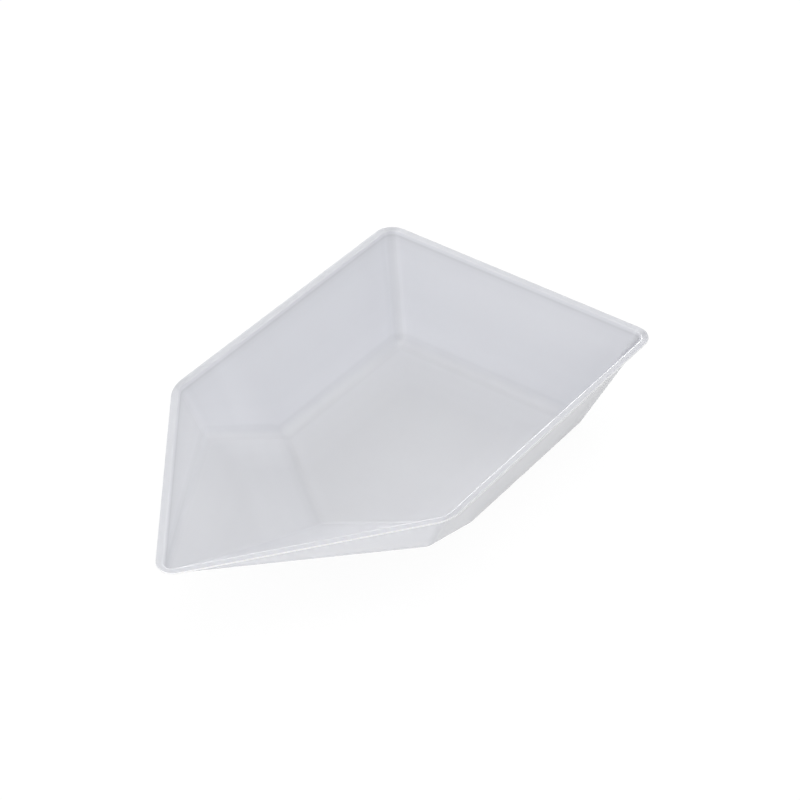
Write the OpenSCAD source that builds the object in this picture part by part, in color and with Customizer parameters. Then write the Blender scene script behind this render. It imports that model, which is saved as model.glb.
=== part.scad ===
// Weighing boat with a pouring spout, thermoformed from one translucent plastic sheet.
//
// Seen from above it is a five-sided dish: a square back, two long sides and two
// spout edges that meet in a tip. +X points to the tip, +Y to the left-hand side
// and +Z up. The origin lies on the surface that the boat stands on, at the middle
// of its length and width.
//
// The sheet's top surface is built first: the flat rim, the lip that turns down
// into the walls, the floor, and the two ramps of the spout. Flat panels are joined
// by bends, and where three or more panels meet there is a patch of a ball that
// touches them all. The underside is the same surface, one sheet thickness lower.

/* [Rim] */
// Width over the outer edges of the two long sides
rim_w = 80; // [60:1:100]
// Length of each long side, from the back edge to the shoulder
side_l = 84.6; // [72:0.2:110]
// Length of the spout, from the shoulders to where its two edges would cross
spout_l = 52.7; // [44:0.1:64]
// Width of the rim, from its outer edge to where it would meet the wall unbent
rim_flat = 1.7; // [1.5:0.1:4]
// Radius of the rim's outer edge at the two back corners
back_corner_r = 4.8; // [2:0.2:7]
// Radius of the rim's outer edge at the two shoulders
shoulder_corner_r = 11; // [3:0.5:20]
// Radius of the rim's outer edge at the tip
tip_corner_r = 4; // [2:0.2:5]

/* [Bowl] */
// Depth inside, from the top of the rim down to the floor
bowl_d = 24.8; // [16:0.2:30]
// Lean of the walls from the vertical
wall_draft = 23; // [14:0.5:26]
// Distance from the back edge to where the floor turns up beside a long side
floor_side_l = 59; // [50:0.2:64]
// Distance from the back edge to the point of the floor, on the centre line
floor_point_l = 80.2; // [74:0.2:90]
// Height of the low wall that is left at the tip, above the end of the spout
tip_wall_h = 1.55; // [1.5:0.05:4]

/* [Sheet] */
// Thickness of the plastic sheet
sheet_t = 0.35; // [0.2:0.05:0.6]
// Radius of the bend from the rim into the walls, on its top side
lip_r = 1; // [0.7:0.1:1.2]
// Radius inside the bends around the floor and up the back corners
floor_bend_r = 3.3; // [1.5:0.1:5]
// Radius inside the bend between a long side and a spout wall
shoulder_bend_r = 3.8; // [1.5:0.1:6]
// Radius inside the bend at the tip, where the spout walls meet
tip_bend_r = 2; // [1.2:0.1:2.6]

/* [Hidden] */

UP = [0, 0, 1];
// Steps in each bend of the bowl, and in the bend of the lip
BEND_STEPS = 8;
LIP_STEPS = 5;
// Points closer together than this are the same point
SAME = 0.001;

// The plan is worked out with x from the back edge and z from the top of the rim
half_w = rim_w / 2;
spout_turn = atan2(spout_l, half_w);
tip_x = side_l + spout_l;
tip_cut = tip_corner_r * (1 / cos(spout_turn) - 1);
boat_l = tip_x - tip_cut;

// Plan angles that the back edge and the long sides face, turning left from the tip
back_angle = 180;
side_angle = 90;

// The five rim edges: the plan angle that each faces, and its distance from [0, 0]
BACK = [back_angle, 0];
LEFT = [side_angle, half_w];
RIGHT = [-side_angle, half_w];
SPOUT_LEFT = [spout_turn, tip_x * cos(spout_turn)];
SPOUT_RIGHT = [-spout_turn, tip_x * cos(spout_turn)];

// ---- small geometry helpers ----

function unit(v) = v / norm(v);

function mirrored(v) = [v.x, -v.y, v.z];

// Plan direction at an angle
function heading(angle) = [cos(angle), sin(angle), 0];

// Direction a turned towards direction b by a share of the angle between them
function turned(a, b, share) =
    let (gap = acos(min(1, a * b)))
    share == 0 || gap < SAME ? a
    : share == 1 ? b
    : (sin((1 - share) * gap) * a + sin(share * gap) * b) / sin(gap);

// A plane is [normal, distance]: its points p have normal * p == distance
function through(normal, point) = [normal, normal * point];

// The same plane, moved along its normal
function moved(plane, step) = [plane[0], plane[1] + step];

// The point that three planes share
function meet(a, b, c) =
    (a[1] * cross(b[0], c[0]) + b[1] * cross(c[0], a[0]) + c[1] * cross(a[0], b[0]))
    / (a[0] * cross(b[0], c[0]));

// ---- panels of the bowl: planes whose normals face into the bowl ----

MIDDLE = [[0, 1, 0], 0];
FLOOR = [UP, -bowl_d];

// Wall under one rim edge
function wall(edge) =
    let (normal = sin(wall_draft) * UP - cos(wall_draft) * heading(edge[0]))
    through(normal, (edge[1] - rim_flat) * heading(edge[0]));

// Foot of the low wall at the tip: the upper end of the valley between the ramps
tip_foot = meet(wall(SPOUT_LEFT), [UP, -tip_wall_h], MIDDLE);
floor_point = [floor_point_l, 0, -bowl_d];
floor_turn_left = meet(wall(LEFT), FLOOR, [[1, 0, 0], floor_side_l]);

ramp_left_normal = unit(cross(tip_foot - floor_point, floor_turn_left - floor_point));
RAMP_LEFT = through(ramp_left_normal, floor_point);
RAMP_RIGHT = through(mirrored(ramp_left_normal), floor_point);

// ---- balls in the corners of the bowl ----

// A corner is [ball centre, ball radius, [wall edges met], [bottom panels met],
// radius of the rim above it]. The two entries of a pair are equal where that
// panel runs on through the corner.
function corner(centre, radius, edges, bottoms, rim_r) =
    [centre, radius, edges, bottoms, rim_r];

// Centre of the ball that touches three panels
function ball(a, b, c, r) = meet(moved(a, r), moved(b, r), moved(c, r));

tip_ball = meet(moved(wall(SPOUT_LEFT), tip_bend_r), moved(RAMP_LEFT, tip_bend_r), MIDDLE);
shoulder_ball = ball(wall(SPOUT_LEFT), wall(LEFT), RAMP_LEFT, shoulder_bend_r);
floor_turn_ball = ball(wall(LEFT), RAMP_LEFT, FLOOR, floor_bend_r);
back_ball = ball(wall(LEFT), wall(BACK), FLOOR, floor_bend_r);
point_ball = meet(moved(FLOOR, floor_bend_r), moved(RAMP_LEFT, floor_bend_r), MIDDLE);

TIP = corner(tip_ball, tip_bend_r, [SPOUT_RIGHT, SPOUT_LEFT], [RAMP_RIGHT, RAMP_LEFT],
    tip_corner_r);
SHOULDER_LEFT = corner(shoulder_ball, shoulder_bend_r, [SPOUT_LEFT, LEFT],
    [RAMP_LEFT, RAMP_LEFT], shoulder_corner_r);
TURN_LEFT = corner(floor_turn_ball, floor_bend_r, [LEFT, LEFT], [RAMP_LEFT, FLOOR], 0);
BACK_LEFT = corner(back_ball, floor_bend_r, [LEFT, BACK], [FLOOR, FLOOR], back_corner_r);
BACK_RIGHT = corner(mirrored(back_ball), floor_bend_r, [BACK, RIGHT], [FLOOR, FLOOR],
    back_corner_r);
TURN_RIGHT = corner(mirrored(floor_turn_ball), floor_bend_r, [RIGHT, RIGHT],
    [FLOOR, RAMP_RIGHT], 0);
SHOULDER_RIGHT = corner(mirrored(shoulder_ball), shoulder_bend_r, [RIGHT, SPOUT_RIGHT],
    [RAMP_RIGHT, RAMP_RIGHT], shoulder_corner_r);

// All corners in the order in which the rings go round them, leftwards from the tip
CORNERS = [TIP, SHOULDER_LEFT, TURN_LEFT, BACK_LEFT, BACK_RIGHT, TURN_RIGHT, SHOULDER_RIGHT];

// ---- points of the sheet: each is [place, direction that the top surface faces] ----

// Where a ball touches the top surface, for a direction that the surface faces
function on_ball(centre, radius, facing) = [centre - radius * facing, facing];

// Directions that the wall and the bottom face at one step round a corner
function wall_facing(c, step) =
    turned(wall(c[2][0])[0], wall(c[2][1])[0], step / BEND_STEPS);
function bottom_facing(c, step) =
    turned(c[3][0][0], c[3][1][0], step / BEND_STEPS);

// Direction up along the bend between two walls, or straight up one wall
function climb(c) =
    let (a = wall(c[2][0])[0], b = wall(c[2][1])[0])
    a == b ? unit(UP - (UP * a) * a) : unit(cross(a, b));

// Centre of the lip's bend: it touches the rim's top and the wall, from below
function lip_centre(c, step) =
    let (
        from = c[0] - (c[1] + lip_r) * wall_facing(c, step),
        rise = -lip_r - from.z
    )
    from + rise / climb(c).z * climb(c);

// Point on the lip's bend, from the rim (0) to the wall (LIP_STEPS)
function lip_point(c, step, level) =
    let (facing = turned(UP, wall_facing(c, step), level / LIP_STEPS))
    [lip_centre(c, step) + lip_r * facing, facing];

// Point on the bend at the foot of the wall, from the wall (0) to the bottom (BEND_STEPS)
function foot_point(c, step, level) =
    on_ball(c[0], c[1], turned(wall_facing(c, step), bottom_facing(c, step), level / BEND_STEPS));

// Place on a straight rim edge, right beside a place on the lip
function beside(edge, lip) =
    let (out = heading(edge[0])) [lip.x, lip.y, 0] + (edge[1] - out * lip) * out;

// Place on the arc that rounds the corner between two rim edges
function on_arc(a, b, radius, share) =
    let (
        centre = meet([heading(a[0]), a[1] - radius], [heading(b[0]), b[1] - radius], [UP, 0]),
        turn = (b[0] - a[0] + 360) % 360
    )
    centre + radius * heading(a[0] + share * turn);

// Point on the rim's outer edge at one step round a corner
function edge_point(c, step) =
    let (a = c[2][0], b = c[2][1])
    [a == b ? beside(a, lip_centre(c, step)) : on_arc(a, b, c[4], step / BEND_STEPS), UP];

// ---- triangles of the sheet ----

function differ(a, b) = norm(a[0] - b[0]) > SAME;

// A triangle as a list of one, or nothing where two of its corners are the same point
function triangle(a, b, c) = differ(a, b) && differ(b, c) && differ(c, a) ? [[a, b, c]] : [];

// Triangles between two rows of points that run side by side
function strip(row, next) = [
    for (i = [1 : len(row) - 1])
        each concat(
            triangle(row[i - 1], next[i - 1], row[i]),
            triangle(row[i], next[i - 1], next[i])
        )
];

// Triangles that fill a flat panel, from its first corner
function panel(points) = [
    for (i = [2 : len(points) - 1]) each triangle(points[0], points[i - 1], points[i])
];

function closed(row) = concat(row, [row[0]]);
function backwards(row) = [for (i = [len(row) - 1 : -1 : 0]) row[i]];

edge_ring = closed([for (c = CORNERS, i = [0 : BEND_STEPS]) edge_point(c, i)]);
lip_rings = [
    for (level = [0 : LIP_STEPS])
        closed([for (c = CORNERS, i = [0 : BEND_STEPS]) lip_point(c, i, level)])
];
foot_rings = [
    for (level = [0 : BEND_STEPS])
        closed([for (c = CORNERS, i = [0 : BEND_STEPS]) foot_point(c, i, level)])
];
rings = concat([edge_ring], lip_rings, foot_rings);

// Rim, lip, walls and the bends at their feet
around = [for (i = [1 : len(rings) - 1]) each strip(rings[i - 1], rings[i])];

// Row of points on a ball between two of the panels that it touches
function ball_row(centre, radius, a, b) = [
    for (i = [0 : BEND_STEPS])
        on_ball(centre, radius, turned(a[0], b[0], i / BEND_STEPS))
];

// Row of points where a corner's bend runs out onto the bottom
function bottom_row(c) = ball_row(c[0], c[1], c[3][0], c[3][1]);

// Row of points across the middle of the floor's point, between two of its panels
function point_row(a, b) = ball_row(point_ball, floor_bend_r, a, b);

// Rows that narrow from the floor towards the ramps, over the ball at the floor's point
function point_patch_row(level) = [
    let (
        right = turned(UP, RAMP_RIGHT[0], level / BEND_STEPS),
        left = turned(UP, RAMP_LEFT[0], level / BEND_STEPS)
    )
    for (i = [0 : BEND_STEPS])
        on_ball(point_ball, floor_bend_r, turned(right, left, i / BEND_STEPS))
];

// Bends between the floor and the ramps, the valley, and the ball where they meet
bends = concat(
    strip(bottom_row(TURN_LEFT), backwards(point_row(FLOOR, RAMP_LEFT))),
    strip(bottom_row(TURN_RIGHT), point_row(FLOOR, RAMP_RIGHT)),
    strip(bottom_row(TIP), point_row(RAMP_RIGHT, RAMP_LEFT)),
    [for (level = [BEND_STEPS : -1 : 1])
        each strip(point_patch_row(level), point_patch_row(level - 1))]
);

// Where a corner's ball, or the ball at the floor's point, touches one panel
function touch(c, plane) = on_ball(c[0], c[1], plane[0]);
function point_touch(plane) = on_ball(point_ball, floor_bend_r, plane[0]);

floor_panel = panel([
    point_touch(FLOOR), touch(TURN_RIGHT, FLOOR), touch(BACK_RIGHT, FLOOR),
    touch(BACK_LEFT, FLOOR), touch(TURN_LEFT, FLOOR)
]);
left_ramp = panel([
    point_touch(RAMP_LEFT), touch(TURN_LEFT, RAMP_LEFT),
    touch(SHOULDER_LEFT, RAMP_LEFT), touch(TIP, RAMP_LEFT)
]);
right_ramp = panel([
    point_touch(RAMP_RIGHT), touch(TIP, RAMP_RIGHT),
    touch(SHOULDER_RIGHT, RAMP_RIGHT), touch(TURN_RIGHT, RAMP_RIGHT)
]);

sheet = concat(around, bends, floor_panel, left_ramp, right_ramp);

// ---- the solid: the sheet's top, its underside and the cut edge of the rim ----

function top_of(point) = point[0];
function under(point) = point[0] - sheet_t * point[1];

module boat() {
    top = [for (t = sheet) [for (point = t) top_of(point)]];
    underside = [for (t = sheet) [under(t[0]), under(t[2]), under(t[1])]];
    cut_edge = [
        for (i = [1 : len(edge_ring) - 1])
            let (a = edge_ring[i - 1], b = edge_ring[i])
            if (differ(a, b))
                each [[top_of(a), top_of(b), under(b)], [top_of(a), under(b), under(a)]]
    ];
    faces = concat(top, underside, cut_edge);
    color("gainsboro")
        translate([-boat_l / 2, 0, bowl_d + sheet_t])
            polyhedron(
                points = [for (f = faces) each f],
                faces = [for (i = [0 : len(faces) - 1]) [3 * i, 3 * i + 1, 3 * i + 2]]
            );
}

boat();
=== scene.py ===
"""Weighing boat with a pouring spout, thermoformed from milky polystyrene sheet.

The boat stands on a pale table top in soft studio light.  The boat's form is worked
out in millimetres, with x from the back edge towards the tip, y to the left-hand side
and z from the top of the rim; its mesh and everything else are in metres, in the
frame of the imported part.
"""

import logging
import math
from dataclasses import dataclass, field
from enum import Enum
from functools import cached_property

import bmesh
import bpy
from mathutils import Matrix, Vector


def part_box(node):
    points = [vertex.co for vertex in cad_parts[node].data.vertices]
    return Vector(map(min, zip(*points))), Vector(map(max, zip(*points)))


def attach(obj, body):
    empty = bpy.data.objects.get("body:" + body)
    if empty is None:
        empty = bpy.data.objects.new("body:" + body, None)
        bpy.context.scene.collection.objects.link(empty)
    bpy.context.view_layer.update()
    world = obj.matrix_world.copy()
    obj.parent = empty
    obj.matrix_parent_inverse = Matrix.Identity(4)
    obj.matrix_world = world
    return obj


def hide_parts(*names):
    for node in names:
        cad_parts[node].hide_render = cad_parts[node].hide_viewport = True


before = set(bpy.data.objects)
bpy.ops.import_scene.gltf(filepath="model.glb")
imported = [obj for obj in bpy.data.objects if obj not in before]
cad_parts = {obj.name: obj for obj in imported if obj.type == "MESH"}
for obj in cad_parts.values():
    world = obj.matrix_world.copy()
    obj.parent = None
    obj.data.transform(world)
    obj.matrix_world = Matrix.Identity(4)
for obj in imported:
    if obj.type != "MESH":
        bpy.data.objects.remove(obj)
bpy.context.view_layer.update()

MM = 0.001
UP = Vector((0.0, 0.0, 1.0))
# Distances from a bend are kept up to here, in millimetres; further off all is "far"
REACH = 50.0
# Points closer than this are one point, and edges shorter than this are dropped, in
# millimetres
SAME_POINT = 0.002
SHORTEST_EDGE = 0.0005
# Bends between faces are shown as sharp from this angle on, in degrees
SHARP_FROM = 50.0
# How far from a panel's edges its rings of points lie, in millimetres
RING_STEPS = (0.0, 0.6, 1.3, 2.2, 3.4, 5.0, 7.0, 10.0, 14.0, 19.0)
# The last ring lies at this share of the way to the panel's middle, and no other ring
# lies within the next distance of it, in millimetres
LAST_RING = 0.92
LAST_RING_CLEAR = 0.4

log = logging.getLogger("weighing_boat")


# ---- colours and nodes ----

def linear(hex_colour: str) -> tuple[float, float, float, float]:
    """Turn an sRGB hex colour into Blender's linear colour.

    Args:
        hex_colour: The colour as "#RRGGBB".

    Returns:
        Red, green, blue and an alpha of 1.
    """
    parts = [int(hex_colour[i:i + 2], 16) / 255 for i in (1, 3, 5)]
    red, green, blue = (
        part / 12.92 if part <= 0.04045 else ((part + 0.055) / 1.055) ** 2.4 for part in parts
    )
    return red, green, blue, 1.0


def add_node(tree: bpy.types.NodeTree, kind: str, inputs: dict[str | int, object] | None = None,
             **settings: object) -> bpy.types.Node:
    """Add a node with its settings and links.

    Args:
        tree: The node tree that gets the node.
        kind: Blender's name for the kind of node.
        inputs: A value, or the socket to link from, for each input by name or number.
        **settings: The node's own settings.

    Returns:
        The new node.
    """
    node = tree.nodes.new(kind)
    for name, value in settings.items():
        setattr(node, name, value)
    for key, value in (inputs or {}).items():
        if isinstance(value, bpy.types.NodeSocket):
            tree.links.new(value, node.inputs[key])
        else:
            node.inputs[key].default_value = value
    return node


def new_material(name: str) -> tuple[bpy.types.Material, bpy.types.NodeTree]:
    """Make a material with an empty node tree.

    Args:
        name: The material's name.

    Returns:
        The material and its node tree.
    """
    material = bpy.data.materials.new(name)
    material.use_nodes = True
    material.node_tree.nodes.clear()
    return material, material.node_tree


def looked_at(tree: bpy.types.NodeTree) -> bpy.types.NodeSocket:
    """Tell a look from light: 1 for what is seen straight, reflected or through the sheet.

    Args:
        tree: The node tree that asks.

    Returns:
        The socket with the answer.
    """
    path = add_node(tree, "ShaderNodeLightPath")
    seen = add_node(tree, "ShaderNodeMath", {
        0: path.outputs["Is Camera Ray"], 1: path.outputs["Is Glossy Ray"]}, operation="ADD")
    seen = add_node(tree, "ShaderNodeMath", {
        0: seen.outputs[0], 1: path.outputs["Is Transmission Ray"]},
        operation="ADD", use_clamp=True)
    return seen.outputs[0]


# ---- geometry of the boat's form ----

@dataclass(frozen=True)
class Plane:
    """A flat panel: its points p have normal * p equal to distance."""

    normal: Vector
    distance: float

    def moved(self, step: float) -> "Plane":
        """The same panel, moved along its normal."""
        return Plane(self.normal, self.distance + step)


@dataclass(frozen=True)
class Ball:
    """A ball that lies in a corner of the bowl and touches the panels around it."""

    centre: Vector
    radius: float

    def touch(self, facing: Vector) -> Vector:
        """Where the ball touches the sheet, for a direction that the sheet faces there."""
        return self.centre - self.radius * facing


@dataclass(frozen=True)
class RimEdge:
    """A straight edge of the rim."""

    facing: float
    distance: float

    @property
    def out(self) -> Vector:
        """Direction in plan that the edge faces."""
        return heading(self.facing)


@dataclass(frozen=True)
class Corner:
    """A corner of the bowl: its ball, and what meets on either side of it."""

    ball: Ball
    edges: tuple[RimEdge, RimEdge]
    bottoms: tuple[Plane, Plane]
    rim_r: float = 0.0

    @property
    def turns_wall(self) -> bool:
        """Whether two different walls meet at this corner."""
        return self.edges[0] is not self.edges[1]

    @property
    def turns_bottom(self) -> bool:
        """Whether two different bottom panels meet at this corner."""
        return self.bottoms[0] is not self.bottoms[1]


@dataclass(frozen=True)
class SheetPoint:
    """A point of the sheet's top surface and how far it is from the bends, in millimetres.

    foot is measured across the bend at the foot of the walls: less than 0 up the wall,
    more than 0 on the bottom.  lip is measured across the rim's lip, less than 0 on the
    rim.  ramp is measured across the bend between the floor and a ramp: less than 0 on
    the floor, more than 0 on a ramp.  corner and shoulder are measured across the bends
    of the walls: from a long side wall, where they are less than 0, on to the back wall
    and on to a spout wall.  rise is the height of the wall, which shrinks towards the
    tip; all but the walls count as high.
    """

    place: Vector
    facing: Vector
    foot: float
    ramp: float
    lip: float
    corner: float = -REACH
    shoulder: float = -REACH
    rise: float = REACH


def heading(angle: float) -> Vector:
    """Direction in plan at an angle in degrees."""
    return Vector((math.cos(math.radians(angle)), math.sin(math.radians(angle)), 0.0))


def sight(azimuth: float, elevation: float) -> Vector:
    """Direction at an angle in plan and an angle above it, both in degrees."""
    level = heading(azimuth) * math.cos(math.radians(elevation))
    return level + UP * math.sin(math.radians(elevation))


def meet(a: Plane, b: Plane, c: Plane) -> Vector:
    """Find the point that three planes share.

    Args:
        a: First plane.
        b: Second plane.
        c: Third plane.

    Returns:
        The shared point.
    """
    total = (a.distance * b.normal.cross(c.normal) + b.distance * c.normal.cross(a.normal)
             + c.distance * a.normal.cross(b.normal))
    return total / a.normal.dot(b.normal.cross(c.normal))


def gap(a: Vector, b: Vector) -> float:
    """Angle between two directions, in radians."""
    return math.acos(max(-1.0, min(1.0, a.dot(b))))


def turned(a: Vector, b: Vector, share: float) -> Vector:
    """Turn one direction towards another.

    Args:
        a: Direction to start from.
        b: Direction to turn towards.
        share: Share of the angle between them.

    Returns:
        The turned direction.
    """
    angle = gap(a, b)
    if angle < 1e-5:
        return a.copy()
    return (math.sin((1 - share) * angle) * a + math.sin(share * angle) * b) / math.sin(angle)


def limited(distance: float) -> float:
    """A distance from a bend, kept within REACH."""
    return max(-REACH, min(REACH, distance))


def away(first: float, last: float, share: float, length: float) -> float:
    """Give the distance from the nearer of two bends, part of the way from one to the other.

    Args:
        first: Distance from the bend at the start.
        last: Distance from the bend at the end.
        share: Share of the way.
        length: Length of the whole way.

    Returns:
        The distance, with the sign of the smaller of the two and kept within REACH.
    """
    nearer = first if abs(first) <= abs(last) else last
    return limited(math.copysign(
        min(abs(first) + share * length, abs(last) + (1 - share) * length), nearer))


@dataclass
class BoatForm:
    """The boat's sizes in millimetres, and the panels, bends and corners they give."""

    # The rim in plan: its width, its straight sides, the spout's reach past them, the
    # flat between its edge and the walls, and its corners
    rim_w: float = 80.0
    side_l: float = 84.6
    spout_l: float = 52.7
    rim_flat: float = 1.7
    back_corner_r: float = 4.8
    shoulder_corner_r: float = 11.0
    tip_corner_r: float = 4.0
    # The bowl: its depth, its walls' lean in degrees, the floor's length at its sides
    # and at its point, and the height of wall left at the tip
    bowl_d: float = 24.8
    wall_draft: float = 23.0
    floor_side_l: float = 59.0
    floor_point_l: float = 80.2
    tip_wall_h: float = 1.55
    # The sheet's thickness, and the radii of its bends
    sheet_t: float = 0.35
    lip_r: float = 0.5
    floor_bend_r: float = 3.3
    shoulder_bend_r: float = 3.8
    tip_bend_r: float = 2.0
    # How finely the surface is divided
    bend_steps: int = 12
    lip_steps: int = 8
    rim_rows: int = 4
    wall_rows: int = 12
    panel_step: float = 4.0

    def __post_init__(self) -> None:
        """Work out the rim's edges and the panels from the sizes."""
        half_w = self.rim_w / 2
        turn = math.degrees(math.atan2(self.spout_l, half_w))
        tip_x = self.side_l + self.spout_l
        spout_reach = tip_x * math.cos(math.radians(turn))
        self.back = RimEdge(180.0, 0.0)
        self.left = RimEdge(90.0, half_w)
        self.right = RimEdge(-90.0, half_w)
        self.spout_left = RimEdge(turn, spout_reach)
        self.spout_right = RimEdge(-turn, spout_reach)
        self.middle = Plane(Vector((0.0, 1.0, 0.0)), 0.0)
        self.floor = Plane(UP, -self.bowl_d)
        tip_foot = meet(self.wall(self.spout_left), Plane(UP, -self.tip_wall_h), self.middle)
        floor_point = Vector((self.floor_point_l, 0.0, -self.bowl_d))
        end_of_side = Plane(Vector((1.0, 0.0, 0.0)), self.floor_side_l)
        floor_turn = meet(self.wall(self.left), self.floor, end_of_side)
        rise = (tip_foot - floor_point).cross(floor_turn - floor_point).normalized()
        self.ramp_left = Plane(rise, rise.dot(floor_point))
        fall = Vector((rise.x, -rise.y, rise.z))
        self.ramp_right = Plane(fall, fall.dot(floor_point))

    def wall(self, edge: RimEdge) -> Plane:
        """Give the wall under one edge of the rim.

        Args:
            edge: The rim's edge above the wall.

        Returns:
            The wall's plane, whose normal faces into the bowl.
        """
        draft = math.radians(self.wall_draft)
        normal = math.sin(draft) * UP - math.cos(draft) * edge.out
        return Plane(normal, normal.dot((edge.distance - self.rim_flat) * edge.out))

    def rolled(self, radius: float, *panels: Plane) -> Ball:
        """Lay a ball in the corner between three panels.

        Args:
            radius: The ball's radius.
            *panels: The three panels; the boat's middle plane counts as it stands.

        Returns:
            The ball that touches them.
        """
        moved = [p if p is self.middle else p.moved(radius) for p in panels]
        return Ball(meet(*moved), radius)

    @cached_property
    def point_ball(self) -> Ball:
        """Ball at the floor's point, where the floor meets both ramps."""
        return self.rolled(self.floor_bend_r, self.floor, self.ramp_left, self.middle)

    @cached_property
    def corners(self) -> list[Corner]:
        """Work out the seven corners, going round leftwards from the tip.

        Returns:
            The corners.
        """
        left, right, back = self.left, self.right, self.back
        spout_left, spout_right = self.spout_left, self.spout_right
        floor, ramp_left, ramp_right = self.floor, self.ramp_left, self.ramp_right
        tip = self.rolled(self.tip_bend_r, self.wall(spout_left), ramp_left, self.middle)
        balls = {
            "shoulder": self.rolled(self.shoulder_bend_r, self.wall(spout_left), self.wall(left),
                                    ramp_left),
            "turn": self.rolled(self.floor_bend_r, self.wall(left), ramp_left, floor),
            "back": self.rolled(self.floor_bend_r, self.wall(left), self.wall(back), floor),
        }
        over = {
            name: Ball(Vector((ball.centre.x, -ball.centre.y, ball.centre.z)), ball.radius)
            for name, ball in balls.items()
        }
        return [
            Corner(tip, (spout_right, spout_left), (ramp_right, ramp_left), self.tip_corner_r),
            Corner(balls["shoulder"], (spout_left, left), (ramp_left, ramp_left),
                   self.shoulder_corner_r),
            Corner(balls["turn"], (left, left), (ramp_left, floor)),
            Corner(balls["back"], (left, back), (floor, floor), self.back_corner_r),
            Corner(over["back"], (back, right), (floor, floor), self.back_corner_r),
            Corner(over["turn"], (right, right), (floor, ramp_right)),
            Corner(over["shoulder"], (right, spout_right), (ramp_right, ramp_right),
                   self.shoulder_corner_r),
        ]

    def pieces(self, a: Ball, b: Ball) -> int:
        """Number of pieces into which the stretch between two balls is divided."""
        return max(1, math.ceil((a.centre - b.centre).length / self.panel_step))

    def edge_place(self, corner: Corner, share: float, lip_centre: Vector) -> Vector:
        """Find a place on the rim's outer edge.

        Args:
            corner: The corner of the bowl that the place belongs to.
            share: Share of the way round the corner.
            lip_centre: Centre of the lip's bend beside the place.

        Returns:
            The place, on the rim's top.
        """
        first, last = corner.edges
        if not corner.turns_wall:
            beside = Vector((lip_centre.x, lip_centre.y, 0.0))
            return beside + (first.distance - first.out.dot(beside)) * first.out
        radius = corner.rim_r
        centre = meet(Plane(first.out, first.distance - radius),
                      Plane(last.out, last.distance - radius), Plane(UP, 0.0))
        sweep = (last.facing - first.facing + 360) % 360
        return centre + radius * heading(first.facing + share * sweep)

    def column(self, corner: Corner, step: int) -> list[SheetPoint]:
        """Make the points from the rim's edge down to the bottom, at one step round a corner.

        Args:
            corner: The corner.
            step: The step, from 0 to bend_steps.

        Returns:
            The points, in the same number and order for every column.
        """
        share = step / self.bend_steps
        ball = corner.ball
        walls = [self.wall(edge).normal for edge in corner.edges]
        facing_in = turned(walls[0], walls[1], share)
        bottom = turned(corner.bottoms[0].normal, corner.bottoms[1].normal, share)
        climb = (walls[0].cross(walls[1]) if corner.turns_wall
                 else UP - UP.dot(walls[0]) * walls[0]).normalized()
        under_lip = ball.centre - (ball.radius + self.lip_r) * facing_in
        lip_centre = under_lip + (-self.lip_r - under_lip.z) / climb.z * climb
        ramp, *around = self.side_reaches(corner, share)

        half_lip = self.lip_r * gap(UP, facing_in) / 2
        half_foot = ball.radius * gap(facing_in, bottom) / 2
        lip_top = lip_centre + self.lip_r * UP
        lip_end = lip_centre + self.lip_r * facing_in
        foot_start = ball.touch(facing_in)
        edge = self.edge_place(corner, share, lip_centre)
        rim_w, wall_h = (edge - lip_top).length, (foot_start - lip_end).length

        points = []
        for row in range(self.rim_rows):
            down = row / self.rim_rows
            points.append(SheetPoint(edge.lerp(lip_top, down), UP, -REACH, ramp,
                                     limited(-half_lip - (1 - down) * rim_w), *around))
        for row in range(self.lip_steps + 1):
            turn = row / self.lip_steps
            facing = turned(UP, facing_in, turn)
            points.append(SheetPoint(lip_centre + self.lip_r * facing, facing,
                                     limited(-half_foot - wall_h), ramp,
                                     half_lip * (2 * turn - 1), *around,
                                     REACH + turn * (limited(wall_h) - REACH)))
        for row in range(1, self.wall_rows):
            # Rows lie closer together towards both ends of the wall
            down = (1 - math.cos(math.pi * row / self.wall_rows)) / 2
            points.append(SheetPoint(lip_end.lerp(foot_start, down), facing_in,
                                     limited(-half_foot - (1 - down) * wall_h), ramp,
                                     limited(half_lip + down * wall_h), *around,
                                     limited(wall_h)))
        for row in range(self.bend_steps + 1):
            turn = row / self.bend_steps
            facing = turned(facing_in, bottom, turn)
            points.append(SheetPoint(ball.touch(facing), facing, half_foot * (2 * turn - 1),
                                     ramp, limited(half_lip + wall_h), *around,
                                     limited(wall_h)))
        return points

    def side_reaches(self, corner: Corner, share: float) -> tuple[float, float, float]:
        """Give the distances from the sloping bends at one step round a corner.

        Args:
            corner: The corner.
            share: Share of the way round it.

        Returns:
            The distances that SheetPoint calls ramp, corner and shoulder.
        """
        first, last = corner.edges
        across = (share - 0.5) * corner.ball.radius * gap(
            self.wall(first).normal, self.wall(last).normal)
        from_side = across if first in (self.left, self.right) else -across
        round_back = from_side if self.back in corner.edges else -REACH
        round_shoulder = -REACH
        if {self.spout_left, self.spout_right} & set(corner.edges):
            round_shoulder = from_side if {self.left, self.right} & set(corner.edges) else REACH
        if not corner.turns_bottom or corner.turns_wall:
            return self.past_ramp_bend(corner), round_back, round_shoulder
        sweep = gap(corner.bottoms[0].normal, corner.bottoms[1].normal)
        to_floor = share - 0.5 if corner.bottoms[1] is self.floor else 0.5 - share
        return -corner.ball.radius * sweep * to_floor, round_back, round_shoulder

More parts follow.
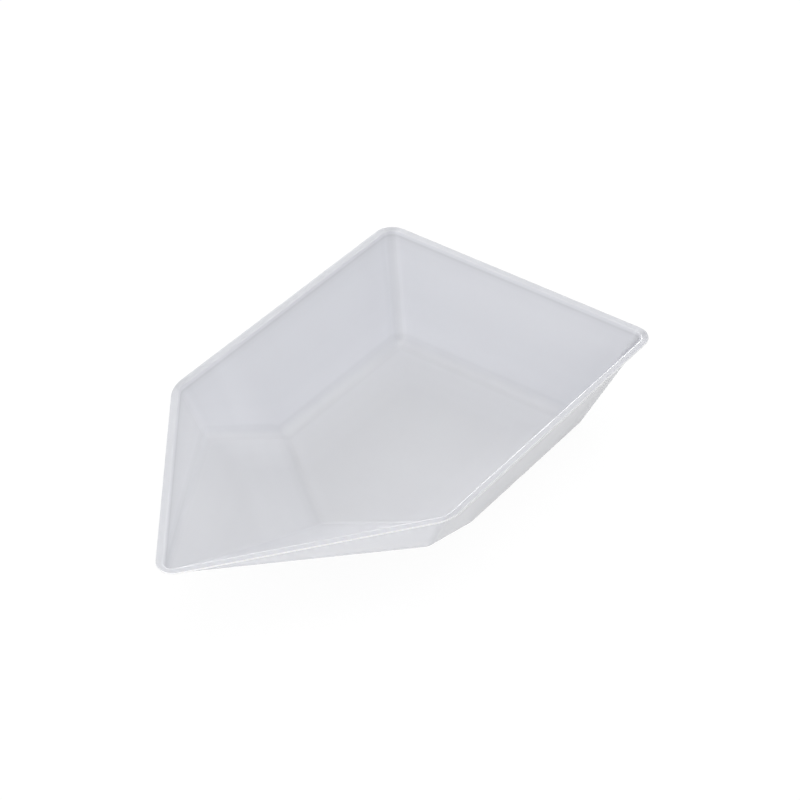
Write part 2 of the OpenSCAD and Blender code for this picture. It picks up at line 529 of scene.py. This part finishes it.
    def past_ramp_bend(self, corner: Corner) -> float:
        """Give the distance from a ramp's bend to where a corner's ball touches the bottom.

        Args:
            corner: A corner beside the bend.

        Returns:
            The distance, negative on the floor.
        """
        panel = corner.bottoms[0]
        _, _, turn_left, _, _, turn_right, _ = self.corners
        on_right = panel is self.ramp_right or corner.ball.centre.y < 0
        turn = turn_right if on_right else turn_left
        start, end = turn.ball.touch(panel.normal), self.point_ball.touch(panel.normal)
        across = panel.normal.cross(end - start).normalized()
        width = self.floor_bend_r * gap(self.floor.normal, self.ramp_left.normal)
        reach = width / 2 + abs((corner.ball.touch(panel.normal) - start).dot(across))
        return limited(-reach if panel is self.floor else reach)


class SheetSurface:
    """The sheet's top surface, gathered as rows of points and turned into one mesh."""

    def __init__(self, form: BoatForm) -> None:
        """Start with an empty mesh.

        Args:
            form: The boat's form.
        """
        self.form = form
        self.mesh = bmesh.new()
        self.facing = self.mesh.verts.layers.float_vector.new("facing")
        self.reaches = {
            name: self.mesh.verts.layers.float.new(name + "_mm")
            for name in ("foot", "ramp", "lip", "corner", "shoulder", "rise")
        }

    def add_point(self, point: SheetPoint) -> bmesh.types.BMVert:
        """Add one point.

        Args:
            point: The point.

        Returns:
            Its vertex.
        """
        vertex = self.mesh.verts.new(point.place)
        vertex[self.facing] = point.facing
        for name, layer in self.reaches.items():
            vertex[layer] = getattr(point, name)
        return vertex

    def add_grid(self, rows: list[list[SheetPoint]]) -> None:
        """Add the faces between rows of points that run side by side.

        Args:
            rows: The rows, each with the same number of points.
        """
        made = [[self.add_point(point) for point in row] for row in rows]
        for row, following in zip(made, made[1:]):
            for i in range(len(row) - 1):
                self.mesh.faces.new((row[i], following[i], following[i + 1], row[i + 1]))

    def between(self, row: list[SheetPoint], last: list[SheetPoint],
                count: int) -> list[list[SheetPoint]]:
        """Divide the straight stretch from one row of points to another.

        Args:
            row: The row where the stretch starts.
            last: The row where it ends.
            count: Number of pieces along it.

        Returns:
            All its rows, both ends included.
        """
        rows = []
        for i in range(count + 1):
            share = i / count
            points = []
            for a, b in zip(row, last):
                length = (a.place - b.place).length
                points.append(SheetPoint(
                    a.place.lerp(b.place, share), a.facing.lerp(b.facing, share).normalized(),
                    a.foot + share * (b.foot - a.foot), a.ramp + share * (b.ramp - a.ramp),
                    a.lip + share * (b.lip - a.lip),
                    away(a.corner, b.corner, share, length),
                    away(a.shoulder, b.shoulder, share, length),
                    a.rise + share * (b.rise - a.rise)))
            rows.append(points)
        return rows

    def add_walls(self) -> None:
        """Add the rim, the lip, the walls and the bends at their feet, all the way round."""
        form = self.form
        for here, there in zip(form.corners, form.corners[1:] + form.corners[:1]):
            round_here = [form.column(here, step) for step in range(form.bend_steps + 1)]
            stretch = self.between(round_here[-1], form.column(there, 0),
                                   form.pieces(here.ball, there.ball))
            self.add_grid(round_here)
            self.add_grid(stretch)

    def ball_row(self, ball: Ball, a: Plane, b: Plane, ramp_a: float, ramp_b: float,
                 foot: float) -> list[SheetPoint]:
        """Make a row of points on a ball, from one panel that it touches to another.

        Args:
            ball: The ball.
            a: Panel where the row starts.
            b: Panel where it ends.
            ramp_a: Distance across the ramp's bend at the start.
            ramp_b: The same at the end.
            foot: Distance across the foot bend, all along the row.

        Returns:
            The points.
        """
        steps = self.form.bend_steps
        row = []
        for i in range(steps + 1):
            facing = turned(a.normal, b.normal, i / steps)
            row.append(SheetPoint(ball.touch(facing), facing, foot,
                                  ramp_a + i / steps * (ramp_b - ramp_a), REACH))
        return row

    def half_bend(self, radius: float, a: Plane, b: Plane) -> float:
        """Half the width of a bend, measured along the sheet."""
        return radius * gap(a.normal, b.normal) / 2

    def foot_at(self, corner: Corner) -> float:
        """Distance across the foot bend where a corner's bend ends on the bottom."""
        return self.half_bend(corner.ball.radius, self.form.wall(corner.edges[0]),
                              corner.bottoms[0])

    def add_bottom_bends(self) -> None:
        """Add the bends between the floor and the ramps, the valley and their shared ball."""
        form = self.form
        tip, _, turn_left, _, _, turn_right, _ = form.corners
        half = self.half_bend(form.floor_bend_r, form.floor, form.ramp_left)
        floor, left, right, point = form.floor, form.ramp_left, form.ramp_right, form.point_ball
        for turn, a, b, on_b in ((turn_left, left, floor, -half), (turn_right, floor, right, half)):
            start = self.ball_row(turn.ball, a, b, -on_b, on_b, self.foot_at(turn))
            end = self.ball_row(point, a, b, -on_b, on_b, REACH)
            self.add_grid(self.between(start, end, form.pieces(turn.ball, point)))
        valley_start = self.ball_row(tip.ball, right, left, REACH, REACH, self.foot_at(tip))
        valley_end = self.ball_row(point, right, left, half, half, REACH)
        self.add_grid(self.between(valley_start, valley_end, form.pieces(tip.ball, point)))
        cap = []
        for level in range(form.bend_steps, -1, -1):
            rise = level / form.bend_steps
            sides = [Plane(turned(UP, side.normal, rise), 0.0) for side in (right, left)]
            reach = half * (2 * rise - 1)
            cap.append(self.ball_row(point, sides[0], sides[1], reach, reach, REACH))
        self.add_grid(cap)

    def add_panel(self, plane: Plane, stops: list[tuple[Ball, str]]) -> None:
        """Fill a flat panel of the bottom with rings that step in from its edges.

        Args:
            plane: The panel.
            stops: The balls at its corners, in order, each with the kind of bend that runs
                from it to the next: "foot", "ramp" or "valley".
        """
        form = self.form
        balls = [ball for ball, _ in stops]
        kinds = [kind for _, kind in stops]
        places = [ball.touch(plane.normal) for ball in balls]
        count = len(places)
        runs = [(places[(i + 1) % count] - places[i]) for i in range(count)]
        along = [run.normalized() for run in runs]
        inward = [plane.normal.cross(direction) for direction in along]
        mitres = [
            (inward[i - 1] + inward[i]) / (1 + inward[i - 1].dot(inward[i]))
            for i in range(count)
        ]
        closing = [along[i].dot(mitres[i]) - along[i].dot(mitres[(i + 1) % count])
                   for i in range(count)]
        deepest = LAST_RING * min(
            runs[i].length / closing[i] for i in range(count) if closing[i] > 0)
        halves = {
            "foot": self.half_bend(form.floor_bend_r, form.wall(form.left), plane),
            "ramp": self.half_bend(form.floor_bend_r, form.floor, form.ramp_left),
        }
        side = -1 if plane is form.floor else 1

        def point_at(place: Vector) -> SheetPoint:
            """Make the panel's point at a place, with its distances from the bends.

            Args:
                place: The place, on the panel.

            Returns:
                The point.
            """
            reach = {"foot": REACH, "ramp": REACH, "valley": REACH}
            for i in range(count):
                if kinds[i] in halves:
                    off = halves[kinds[i]] + (place - places[i]).dot(inward[i])
                    reach[kinds[i]] = min(reach[kinds[i]], off)
            return SheetPoint(place, plane.normal, reach["foot"], side * reach["ramp"], REACH)

        steps = [step for step in RING_STEPS if step < deepest - LAST_RING_CLEAR] + [deepest]
        rings = []
        for step in steps:
            marks = [places[i] + step * mitres[i] for i in range(count)]
            ring = []
            for i in range(count):
                parts = form.pieces(balls[i], balls[(i + 1) % count])
                ring += [point_at(marks[i].lerp(marks[(i + 1) % count], k / parts))
                         for k in range(parts)]
            rings.append(ring + ring[:1])
        self.add_grid(rings)
        middle = sum((point.place for point in rings[-1][:-1]), Vector()) / (len(rings[-1]) - 1)
        hub = self.add_point(point_at(middle))
        last = [self.add_point(point) for point in rings[-1]]
        for a, b in zip(last, last[1:]):
            self.mesh.faces.new((a, hub, b))

    def add_bottom_panels(self) -> None:
        """Add the floor and the two ramps."""
        form = self.form
        tip, shoulder_left, turn_left, back_left, back_right, turn_right, shoulder_right = (
            corner.ball for corner in form.corners)
        point = form.point_ball
        self.add_panel(form.floor, [(point, "ramp"), (turn_left, "foot"), (back_left, "foot"),
                                    (back_right, "foot"), (turn_right, "ramp")])
        self.add_panel(form.ramp_left, [(point, "valley"), (tip, "foot"),
                                        (shoulder_left, "foot"), (turn_left, "ramp")])
        self.add_panel(form.ramp_right, [(point, "ramp"), (turn_right, "foot"),
                                         (shoulder_right, "foot"), (tip, "valley")])

    def join(self) -> int:
        """Join the parts of the surface into one.

        Returns:
            The number of edges left open, which all belong to the rim.
        """
        bmesh.ops.remove_doubles(self.mesh, verts=self.mesh.verts, dist=SAME_POINT)
        bmesh.ops.dissolve_degenerate(self.mesh, edges=self.mesh.edges, dist=SHORTEST_EDGE)
        bmesh.ops.recalc_face_normals(self.mesh, faces=self.mesh.faces)
        return sum(edge.is_boundary for edge in self.mesh.edges)


class SheetFace(Enum):
    """Which material a face of the boat has, by its slot number."""

    TOP = 0
    CUT = 1
    UNDERSIDE = 2


# ---- finishes ----

class SheetPart(Enum):
    """Parts of the sheet that a shade can keep to.

    Each has a bend and the distances from it where the shade starts to show and where it
    shows in full.
    """

    WALLS = ("foot_mm", 1.5, -1.0)
    BOTTOM = ("foot_mm", -1.5, 1.0)
    SPOUT = ("ramp_mm", 12.0, 18.0)


@dataclass(frozen=True)
class BendShade:
    """How light the drawn sheet looks on either side of a bend.

    Each stop has a distance from the bend's middle, in millimetres, and how light the
    painted light and shade make the sheet there compared with its plain colour.
    """

    reach: str
    stops: tuple[tuple[float, float], ...]
    part: SheetPart | None = None

    def over(self, tree: bpy.types.NodeTree, colour: bpy.types.NodeSocket) -> bpy.types.NodeSocket:
        """Shade a colour across the bend.

        Args:
            tree: The material's node tree.
            colour: The colour so far.

        Returns:
            The shaded colour.
        """
        first, last = self.stops[0][0], self.stops[-1][0]
        distance = add_node(tree, "ShaderNodeAttribute", attribute_name=self.reach)
        along = add_node(tree, "ShaderNodeMapRange", {
            "Value": distance.outputs["Fac"], "From Min": first, "From Max": last})
        ramp = add_node(tree, "ShaderNodeValToRGB", {"Fac": along.outputs["Result"]})
        ramp.color_ramp.interpolation = "EASE"
        elements = ramp.color_ramp.elements
        for i, (millimetres, share) in enumerate(self.stops):
            position = (millimetres - first) / (last - first)
            element = elements[i] if i < 2 else elements.new(position)
            element.position = position
            element.color = (share, share, share, 1.0)
        shown: float | bpy.types.NodeSocket = 1.0
        if self.part is not None:
            reach, start, full = self.part.value
            place = add_node(tree, "ShaderNodeAttribute", attribute_name=reach)
            shown = add_node(tree, "ShaderNodeMapRange", {
                "Value": place.outputs["Fac"], "From Min": start,
                "From Max": full}).outputs["Result"]
        shaded = add_node(tree, "ShaderNodeMix", {
            "Factor": shown, "A": colour, "B": ramp.outputs["Color"]},
            data_type="RGBA", blend_type="MULTIPLY")
        return shaded.outputs["Result"]


@dataclass(frozen=True)
class ThermoformedPolystyrene:
    """Milky polystyrene sheet, vacuum-formed over a fine-blasted mould.

    It looks like thin skimmed milk: a cool white that lets soft light through, with an
    even satin sheen. Light and shade are painted into its colour along the bends: grey
    lines of painted shade, and lighter painted bands beside them.
    """

    name: str = "thermoformed_polystyrene_sheet"
    # Colours where the sheet is thick and where it was drawn thin, and the largest share
    # of the second
    milk: str = "#F3F4F9"
    drawn: str = "#F5F7FC"
    drawn_share: float = 0.35
    ior: float = 1.59
    rim_roughness: float = 0.10
    roughness: float = 0.24
    roughness_swing: float = 0.02
    scatter_mm: float = 0.8
    # Blasting leaves a grain of about 0.1 mm; it is drawn coarser, so that it shows
    grain_mm: float = 0.25
    grain_depth_mm: float = 0.01
    grain_strength: float = 0.25
    # Soft clouds of uneven thickness, and the noise values between which they run
    cloud_mm: float = 14.0
    cloud_range: tuple[float, float] = (0.3, 0.7)
    # Distances below the lip between which the rim's gloss turns into the walls' satin
    satin_from_mm: float = 0.2
    satin_to_mm: float = 1.4
    # Painted shade: a thin grey line just under the lip; painted light on the lip's roll
    lip: BendShade = BendShade("lip_mm", (
        (-0.3, 0.83), (0.2, 0.89), (0.65, 0.89), (1.1, 0.79), (1.8, 0.85), (3.0, 0.875),
        (7.0, 0.895), (14.0, 0.90)))
    # Painted shade: grey lines at both ends of the foot's bend; painted light on the floor
    # and the walls beside it, lighter than the middle of the floor
    foot: BendShade = BendShade("foot_mm", (
        (-14.0, 0.92), (-9.0, 0.935), (-5.0, 0.96), (-3.0, 0.965), (-1.9, 0.92), (-0.6, 0.92),
        (1.0, 0.93), (1.9, 0.93), (3.0, 0.96), (6.0, 0.95), (10.0, 0.93), (14.0, 0.91)))
    # Painted light along the fold under the spout's walls, which weakens the painted shade
    # of the foot's bend there
    spout: BendShade = BendShade("foot_mm", (
        (-3.5, 1.0), (-1.9, 1.03), (0.0, 1.03), (1.9, 1.03), (3.5, 1.0)), SheetPart.SPOUT)
    # Painted shade greys the corners at the back on the long wall's side, and a painted
    # highlight gives a light line on the back wall's side
    corner: BendShade = BendShade("corner_mm", (
        (-14.0, 0.965), (-9.0, 0.96), (-4.0, 0.965), (-1.8, 0.94), (-0.6, 0.87), (0.3, 0.845),
        (0.9, 0.865), (1.5, 0.95), (2.0, 1.0), (3.0, 0.99), (5.0, 0.985), (14.0, 0.985)),
        SheetPart.WALLS)
    # Painted shade greys the shoulders on the long wall's side, and painted light lightens
    # them towards the spout
    shoulder: BendShade = BendShade("shoulder_mm", (
        (-14.0, 1.0), (-10.0, 0.975), (-4.0, 0.965), (-1.5, 0.925), (0.0, 0.925), (1.0, 0.98),
        (2.0, 1.005), (4.0, 1.015), (14.0, 1.02)), SheetPart.WALLS)
    # Painted shade along the bend between the floor and the ramps, a lighter painted band on
    # the ramps just behind it, and painted shade that darkens the ramps towards the tip
    ramp: BendShade = BendShade("ramp_mm", (
        (-4.0, 0.912), (-2.0, 0.921), (0.0, 0.888), (2.0, 0.926), (4.0, 0.94), (8.0, 0.926),
        (14.0, 0.902), (22.0, 0.853), (32.0, 0.825), (50.0, 0.78)), SheetPart.BOTTOM)
    # Painted light: the spout's low walls are painted whiter than the high side walls
    rise: BendShade = BendShade("rise_mm", (
        (0.0, 0.985), (3.0, 1.0), (9.0, 1.03), (12.3, 1.045), (13.6, 0.98), (19.0, 0.965),
        (24.0, 0.94)), SheetPart.WALLS)

    def material(self) -> bpy.types.Material:
        """Make the material.

        Returns:
            The material.
        """
        material, tree = new_material(self.name)
        place = add_node(tree, "ShaderNodeTexCoord").outputs["Object"]
        grain = add_node(tree, "ShaderNodeTexNoise", {
            "Vector": place, "Scale": 1 / (self.grain_mm * MM), "Detail": 2.0, "Roughness": 0.6})
        clouds = add_node(tree, "ShaderNodeTexNoise", {
            "Vector": place, "Scale": 1 / (self.cloud_mm * MM), "Detail": 3.0, "Roughness": 0.55})
        low, high = self.cloud_range
        cloudy = add_node(tree, "ShaderNodeMapRange", {
            "Value": clouds.outputs["Fac"], "From Min": low, "From Max": high,
            "To Min": 0.0, "To Max": self.drawn_share})
        body = add_node(tree, "ShaderNodeMix", {
            "Factor": cloudy.outputs["Result"], "A": linear(self.milk), "B": linear(self.drawn)},
            data_type="RGBA")
        colour = body.outputs["Result"]
        # Paint light and shade along the bends into the colour
        for shade in (self.lip, self.foot, self.spout, self.corner, self.shoulder, self.ramp,
                      self.rise):
            colour = shade.over(tree, colour)
        below_rim = add_node(tree, "ShaderNodeAttribute", attribute_name="lip_mm")
        satin = add_node(tree, "ShaderNodeMapRange", {
            "Value": below_rim.outputs["Fac"], "From Min": self.satin_from_mm,
            "From Max": self.satin_to_mm, "To Min": self.rim_roughness,
            "To Max": self.roughness})
        uneven = add_node(tree, "ShaderNodeMapRange", {
            "Value": clouds.outputs["Fac"], "From Min": low, "From Max": high,
            "To Min": -self.roughness_swing, "To Max": self.roughness_swing})
        satin = add_node(tree, "ShaderNodeMath", {
            0: satin.outputs["Result"], 1: uneven.outputs["Result"]}, operation="ADD")
        bump = add_node(tree, "ShaderNodeBump", {
            "Height": grain.outputs["Fac"], "Strength": self.grain_strength,
            "Distance": self.grain_depth_mm * MM})
        shader = add_node(tree, "ShaderNodeBsdfPrincipled", {
            "Base Color": colour, "Roughness": satin.outputs[0],
            "IOR": self.ior, "Subsurface Weight": 1.0,
            "Subsurface Radius": (1.0, 1.0, 1.0), "Subsurface Scale": self.scatter_mm * MM,
            "Normal": bump.outputs["Normal"]})
        add_node(tree, "ShaderNodeOutputMaterial", {"Surface": shader.outputs["BSDF"]})
        return material


# The side that lay on the mould has none of the painted lines of the drawn side; painted
# shade greys it towards the corners at the back, and painted light lightens its spout
MOULD_SIDE = ThermoformedPolystyrene(
    name="mould_side_polystyrene_sheet",
    lip=BendShade("lip_mm", ((-0.3, 0.83), (1.0, 0.865), (7.0, 0.87), (14.0, 0.865))),
    foot=BendShade("foot_mm", ((-14.0, 0.92), (-5.0, 0.94), (-2.5, 0.95), (0.0, 0.93),
                               (3.0, 0.95), (10.0, 0.93), (14.0, 0.91))),
    corner=BendShade("corner_mm", ((-20.0, 0.95), (-14.0, 0.925), (-10.0, 0.875), (-5.0, 0.88),
                                   (-2.0, 0.91), (0.0, 0.93), (3.0, 0.95), (14.0, 0.95)),
                     SheetPart.WALLS),
    shoulder=BendShade("shoulder_mm", ((-14.0, 1.0), (-10.0, 0.975), (-4.0, 0.965),
                                       (-1.5, 0.93), (0.0, 0.94), (2.0, 1.05), (14.0, 1.08)),
                       SheetPart.WALLS),
)


@dataclass(frozen=True)
class DieCutPolystyrene:
    """The sheet's edge where the trimming die sheared it: whitened and matt.

    A weak emission, a painted glow with no lamp behind it, makes the edge look a little
    lighter than its lighting.
    """

    white: str = "#FAFBFF"
    ior: float = 1.59
    roughness: float = 0.55
    scatter_mm: float = 0.5
    tear_mm: float = 0.3
    tear_depth_mm: float = 0.02
    tear_strength: float = 0.4
    # Painted light: strength of the glow painted on the cut edge
    painted_edge_glow: float = 0.12

    def material(self) -> bpy.types.Material:
        """Make the material.

        Returns:
            The material.
        """
        material, tree = new_material("die_cut_polystyrene_edge")
        place = add_node(tree, "ShaderNodeTexCoord").outputs["Object"]
        tears = add_node(tree, "ShaderNodeTexNoise", {
            "Vector": place, "Scale": 1 / (self.tear_mm * MM), "Detail": 2.0})
        bump = add_node(tree, "ShaderNodeBump", {
            "Height": tears.outputs["Fac"], "Strength": self.tear_strength,
            "Distance": self.tear_depth_mm * MM})
        shader = add_node(tree, "ShaderNodeBsdfPrincipled", {
            "Base Color": linear(self.white), "Roughness": self.roughness, "IOR": self.ior,
            "Subsurface Weight": 1.0, "Subsurface Radius": (1.0, 1.0, 1.0),
            "Subsurface Scale": self.scatter_mm * MM, "Normal": bump.outputs["Normal"],
            "Emission Color": linear(self.white), "Emission Strength": self.painted_edge_glow})
        add_node(tree, "ShaderNodeOutputMaterial", {"Surface": shader.outputs["BSDF"]})
        return material


@dataclass(frozen=True)
class PaintedTable:
    """Matt white painted board.

    Seen straight or in a reflection it looks plain white, and keeps a soft shadow.
    """

    board: str = "#C8C8C8"
    seen_white: str = "#FFFFFF"
    # Share of plain white in what is seen; the rest takes the shadow
    glow: float = 0.93
    seen_strength: float = 1.02

    def material(self) -> bpy.types.Material:
        """Make the material.

        Returns:
            The material.
        """
        material, tree = new_material("matt_white_painted_board")
        seen = looked_at(tree)
        share = add_node(tree, "ShaderNodeMath", {0: seen, 1: self.glow}, operation="MULTIPLY")
        colour = add_node(tree, "ShaderNodeMix", {
            "Factor": seen, "A": linear(self.board), "B": linear(self.seen_white)},
            data_type="RGBA")
        board = add_node(tree, "ShaderNodeBsdfDiffuse", {"Color": colour.outputs["Result"]})
        plain = add_node(tree, "ShaderNodeEmission", {
            "Color": linear(self.seen_white), "Strength": self.seen_strength})
        mix = add_node(tree, "ShaderNodeMixShader", {
            0: share.outputs[0], 1: board.outputs["BSDF"], 2: plain.outputs["Emission"]})
        add_node(tree, "ShaderNodeOutputMaterial", {"Surface": mix.outputs["Shader"]})
        return material


# ---- the boat ----

@dataclass
class WeighingBoat:
    """The boat: one formed sheet with its top, its underside and its cut edge."""

    node: str = "boat"
    form: BoatForm = field(default_factory=BoatForm)
    sheet: ThermoformedPolystyrene = field(default_factory=ThermoformedPolystyrene)
    cut: DieCutPolystyrene = field(default_factory=DieCutPolystyrene)
    underside: ThermoformedPolystyrene = MOULD_SIDE

    def build(self) -> bpy.types.Object:
        """Build the boat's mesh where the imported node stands.

        Returns:
            The boat's object.
        """
        surface = SheetSurface(self.form)
        surface.add_walls()
        surface.add_bottom_bends()
        surface.add_bottom_panels()
        open_edges = surface.join()
        self.thicken(surface)
        mesh = bpy.data.meshes.new("formed_sheet")
        surface.mesh.to_mesh(mesh)
        surface.mesh.free()
        low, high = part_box(self.node)
        mesh.transform(Matrix.Translation((low.x, 0.0, high.z)) @ Matrix.Scale(MM, 4))
        mesh.shade_smooth()
        mesh.set_sharp_from_angle(angle=math.radians(SHARP_FROM))
        boat = bpy.data.objects.new("formed_boat", mesh)
        bpy.context.scene.collection.objects.link(boat)
        log.info("boat: %d faces, %d edges round the rim", len(mesh.polygons), open_edges)
        return boat

    def thicken(self, surface: SheetSurface) -> None:
        """Give the surface its thickness: an underside, and the cut edge round the rim.

        Args:
            surface: The joined top surface.
        """
        mesh = surface.mesh
        top_faces = list(mesh.faces)
        if sum(face.normal.z * face.calc_area() for face in top_faces) < 0:
            bmesh.ops.reverse_faces(mesh, faces=top_faces)
        rim = [edge for edge in mesh.edges if edge.is_boundary]
        under = {}
        for vertex in list(mesh.verts):
            twin = mesh.verts.new(vertex.co - self.form.sheet_t * vertex[surface.facing])
            for layer in surface.reaches.values():
                twin[layer] = vertex[layer]
            under[vertex] = twin
        for face in top_faces:
            below = mesh.faces.new([under[vertex] for vertex in reversed(face.verts)])
            below.material_index = SheetFace.UNDERSIDE.value
        for edge in rim:
            loop = edge.link_loops[0]
            a, b = loop.vert, loop.link_loop_next.vert
            face = mesh.faces.new((b, a, under[a], under[b]))
            face.material_index = SheetFace.CUT.value

    def dress(self, boat: bpy.types.Object) -> None:
        """Give the boat its materials and its place in the part.

        Args:
            boat: The boat's object.
        """
        finishes = {SheetFace.TOP: self.sheet, SheetFace.CUT: self.cut,
                    SheetFace.UNDERSIDE: self.underside}
        for face in sorted(finishes, key=lambda face: face.value):
            boat.data.materials.append(finishes[face].material())
        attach(boat, "root")
        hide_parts(self.node)


# ---- table, light and camera ----

@dataclass(frozen=True)
class SoftBox:
    """A square lamp behind a white cloth, aimed at the boat."""

    name: str
    azimuth: float
    elevation: float
    distance: float
    size: float
    power: float
    colour: str = "#FFFFFF"

    def light(self, target: Vector) -> None:
        """Hang the lamp.

        Args:
            target: The point that it is aimed at.
        """
        lamp = bpy.data.lights.new(self.name, "AREA")
        lamp.shape = "SQUARE"
        lamp.size = self.size
        lamp.energy = self.power
        lamp.color = linear(self.colour)[:3]
        holder = bpy.data.objects.new(self.name, lamp)
        outward = sight(self.azimuth, self.elevation)
        holder.location = target + self.distance * outward
        holder.rotation_euler = outward.to_track_quat("Z", "Y").to_euler()
        bpy.context.scene.collection.objects.link(holder)
        log.info("lamp: %s", self.name)


@dataclass
class Studio:
    """The table top, the lamps, the pale surroundings and the camera."""

    # Point that the camera is aimed at, and where it stands from there
    aim: Vector = field(default_factory=lambda: Vector((-0.01876, -0.00043, 0.01688)))
    azimuth: float = 36.434
    elevation: float = 38.141
    distance: float = 0.5987
    lens: float = 113.67
    sensor: float = 36.0
    table_r: float = 3.0
    # The thin sheet never lies quite flat, so light also reaches under the floor
    standing_gap: float = 0.05 * MM
    surroundings: str = "#FFFFFF"
    surroundings_strength: float = 0.449
    lamps: tuple[SoftBox, ...] = (
        SoftBox("overhead_box", 0.0, 89.0, 0.9, 0.7, 2.53),
        SoftBox("high_front_box", 36.0, 60.0, 0.9, 0.6, 1.0),
        SoftBox("left_box", 300.0, 28.0, 0.9, 0.6, 0.33),
        SoftBox("far_left_box", 250.0, 18.0, 0.9, 0.6, 2.0),
        SoftBox("back_left_box", 224.0, 18.0, 0.9, 0.35, 1.5),
        SoftBox("right_box", 145.0, 45.0, 0.9, 1.2, 1.12),
        SoftBox("front_box", 29.0, 9.0, 0.9, 0.8, 2.03),
        SoftBox("spout_box", 20.0, 8.0, 0.35, 0.2, 0.18),
    )

    def build(self) -> None:
        """Set up the whole studio."""
        self.lay_table()
        self.light_world()
        for lamp in self.lamps:
            lamp.light(Vector((0.0, 0.0, 0.0)))
        self.place_camera()

    def lay_table(self) -> None:
        """Lay the round table top under the boat."""
        mesh = bmesh.new()
        bmesh.ops.create_circle(mesh, cap_ends=True, segments=96, radius=self.table_r)
        data = bpy.data.meshes.new("table_top")
        mesh.to_mesh(data)
        mesh.free()
        table = bpy.data.objects.new("table_top", data)
        table.location.z = -self.standing_gap
        bpy.context.scene.collection.objects.link(table)
        data.materials.append(PaintedTable().material())
        log.info("table top: %.1f m across", 2 * self.table_r)

    def light_world(self) -> None:
        """Light the surroundings evenly; seen straight they are plain white."""
        world = bpy.data.worlds.new("pale_room")
        bpy.context.scene.world = world
        world.use_nodes = True
        tree = world.node_tree
        tree.nodes.clear()
        seen = looked_at(tree)
        strength = add_node(tree, "ShaderNodeMapRange", {
            "Value": seen, "To Min": self.surroundings_strength, "To Max": 1.0})
        room = add_node(tree, "ShaderNodeBackground", {
            "Color": linear(self.surroundings), "Strength": strength.outputs["Result"]})
        add_node(tree, "ShaderNodeOutputWorld", {"Surface": room.outputs["Background"]})

    def place_camera(self) -> None:
        """Set the camera at its viewing angle, level, with a portrait lens."""
        data = bpy.data.cameras.new("camera")
        data.sensor_width = self.sensor
        data.lens = self.lens
        data.clip_start = 0.01
        camera = bpy.data.objects.new("camera", data)
        outward = sight(self.azimuth, self.elevation)
        camera.location = self.aim + self.distance * outward
        camera.rotation_euler = outward.to_track_quat("Z", "Y").to_euler()
        bpy.context.scene.collection.objects.link(camera)
        bpy.context.scene.camera = camera
        bpy.context.scene.view_settings.view_transform = "Standard"


def main() -> None:
    """Build the boat and its studio."""
    logging.basicConfig(level=logging.INFO, format="%(name)s: %(message)s")
    boat = WeighingBoat()
    boat.dress(boat.build())
    Studio().build()


if __name__ == "__main__":
    main()
